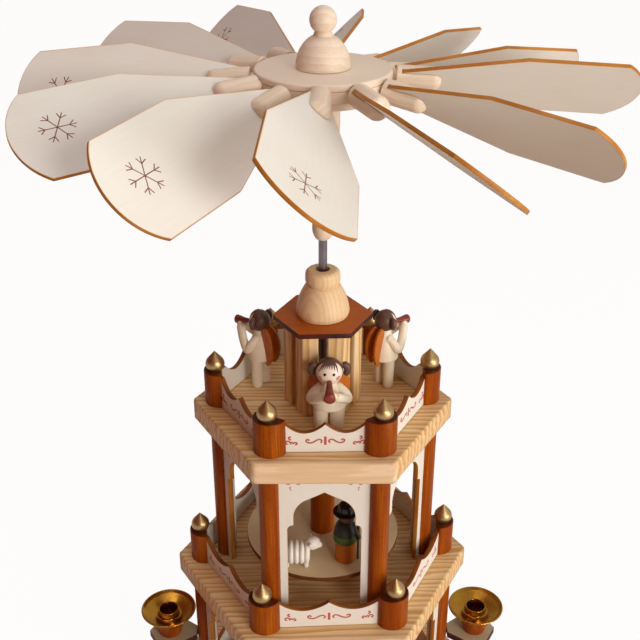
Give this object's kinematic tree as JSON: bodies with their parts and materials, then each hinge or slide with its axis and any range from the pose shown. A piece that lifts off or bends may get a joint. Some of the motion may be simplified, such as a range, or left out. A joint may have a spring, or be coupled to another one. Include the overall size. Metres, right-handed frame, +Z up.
{
  "type": "christmas pyramid",
  "caption": "Wooden candle-driven pyramid: stacked hexagonal stages with arched panels and railings, and a bladed wheel on a turning shaft that carries two turntables.",
  "frame": {"origin": "on the ground under the shaft, at the height of the feet's undersides", "axes": "+Z up along the shaft, -Y out of the flat front side, +X to the right seen from the front"},
  "size_m": [0.3306, 0.3303, 0.504],
  "materials": {
    "pine": "clear varnish, satin",
    "maple": "turned, clear varnish",
    "cream_plywood": "laser-cut plywood with burnt edges",
    "stained_beech": "red-brown stain, satin",
    "orange_stain": "orange-brown stain",
    "gold_paint": "gold paint, satin",
    "brass": "polished",
    "steel": "drawn rod",
    "white_paint": "white paint",
    "coat_paint": "dark paint",
    "angel_paint": "cream paint",
    "hair_paint": "brown paint"
  },
  "bodies": {
    "root": {"base_board": "pine", "middle_board": "pine", "top_board": "pine", "kiosk": "pine", "lower_arcade": "cream_plywood", "upper_arcade": "cream_plywood", "lower_railing": "cream_plywood", "middle_railing": "cream_plywood", "top_railing": "cream_plywood", "roof_bell": "maple", "guide_bush": "brass", "bearing_cup": "brass", "angel_front": "angel_paint", "angel_left": "angel_paint", "angel_right": "angel_paint", "candle_holder_1": "stained_beech", "drip_pan_1": "brass", "candle_holder_2": "stained_beech", "drip_pan_2": "brass", "candle_holder_3": "stained_beech", "drip_pan_3": "brass", "candle_holder_4": "stained_beech", "drip_pan_4": "brass", "candle_holder_5": "stained_beech", "drip_pan_5": "brass", "candle_holder_6": "stained_beech", "drip_pan_6": "brass"},
    "rotor": {"shaft": "steel", "hub_disc": "maple", "hub_sleeve": "maple", "top_knob": "maple", "lower_turntable": "cream_plywood", "upper_turntable": "cream_plywood", "sheep": "white_paint", "shepherd": "coat_paint", "carol_singer": "coat_paint"},
    "paddle_01": {"blade_01": "cream_plywood", "peg_01": "maple"},
    "paddle_02": {"blade_02": "cream_plywood", "peg_02": "maple"},
    "paddle_03": {"blade_03": "cream_plywood", "peg_03": "maple"},
    "paddle_04": {"blade_04": "cream_plywood", "peg_04": "maple"},
    "paddle_05": {"blade_05": "cream_plywood", "peg_05": "maple"},
    "paddle_06": {"blade_06": "cream_plywood", "peg_06": "maple"},
    "paddle_07": {"blade_07": "cream_plywood", "peg_07": "maple"},
    "paddle_08": {"blade_08": "cream_plywood", "peg_08": "maple"},
    "paddle_09": {"blade_09": "cream_plywood", "peg_09": "maple"},
    "paddle_10": {"blade_10": "cream_plywood", "peg_10": "maple"},
    "paddle_11": {"blade_11": "cream_plywood", "peg_11": "maple"},
    "paddle_12": {"blade_12": "cream_plywood", "peg_12": "maple"}
  },
  "joints": [
    {"name": "wheel_spin", "type": "hinge", "parent": "root", "child": "rotor", "pos_m": [0, 0, 0.4], "axis": [0, 0, 1], "continuous": true},
    {"name": "blade_pitch_01", "type": "hinge", "parent": "rotor", "child": "paddle_01", "pos_m": [0, 0, 0.47], "axis": [-0.0504, -0.9949, -0.0872], "range_deg": [-30, 30]},
    {"name": "blade_pitch_02", "type": "hinge", "parent": "rotor", "child": "paddle_02", "pos_m": [0, 0, 0.47], "axis": [-0.5391, -0.8334, -0.1219], "range_deg": [-30, 30]},
    {"name": "blade_pitch_03", "type": "hinge", "parent": "rotor", "child": "paddle_03", "pos_m": [0, 0, 0.47], "axis": [-0.8868, -0.4538, -0.0872], "range_deg": [-30, 30]},
    {"name": "blade_pitch_04", "type": "hinge", "parent": "rotor", "child": "paddle_04", "pos_m": [0, 0, 0.47], "axis": [-0.9932, 0.0503, -0.1045], "range_deg": [-30, 30]},
    {"name": "blade_pitch_05", "type": "hinge", "parent": "rotor", "child": "paddle_05", "pos_m": [0, 0, 0.47], "axis": [-0.8364, 0.5411, -0.0872], "range_deg": [-30, 30]},
    {"name": "blade_pitch_06", "type": "hinge", "parent": "rotor", "child": "paddle_06", "pos_m": [0, 0, 0.47], "axis": [-0.4538, 0.8868, -0.0872], "range_deg": [-30, 30]},
    {"name": "blade_pitch_07", "type": "hinge", "parent": "rotor", "child": "paddle_07", "pos_m": [0, 0, 0.47], "axis": [0.0503, 0.9932, -0.1045], "range_deg": [-30, 30]},
    {"name": "blade_pitch_08", "type": "hinge", "parent": "rotor", "child": "paddle_08", "pos_m": [0, 0, 0.47], "axis": [0.5379, 0.8314, -0.1392], "range_deg": [-30, 30]},
    {"name": "blade_pitch_09", "type": "hinge", "parent": "rotor", "child": "paddle_09", "pos_m": [0, 0, 0.47], "axis": [0.8815, 0.4511, -0.1392], "range_deg": [-30, 30]},
    {"name": "blade_pitch_10", "type": "hinge", "parent": "rotor", "child": "paddle_10", "pos_m": [0, 0, 0.47], "axis": [0.9974, -0.0505, -0.0523], "range_deg": [-30, 30]},
    {"name": "blade_pitch_11", "type": "hinge", "parent": "rotor", "child": "paddle_11", "pos_m": [0, 0, 0.47], "axis": [0.8334, -0.5391, -0.1219], "range_deg": [-30, 30]},
    {"name": "blade_pitch_12", "type": "hinge", "parent": "rotor", "child": "paddle_12", "pos_m": [0, 0, 0.47], "axis": [0.4538, -0.8868, -0.0872], "range_deg": [-30, 30]}
  ]
}
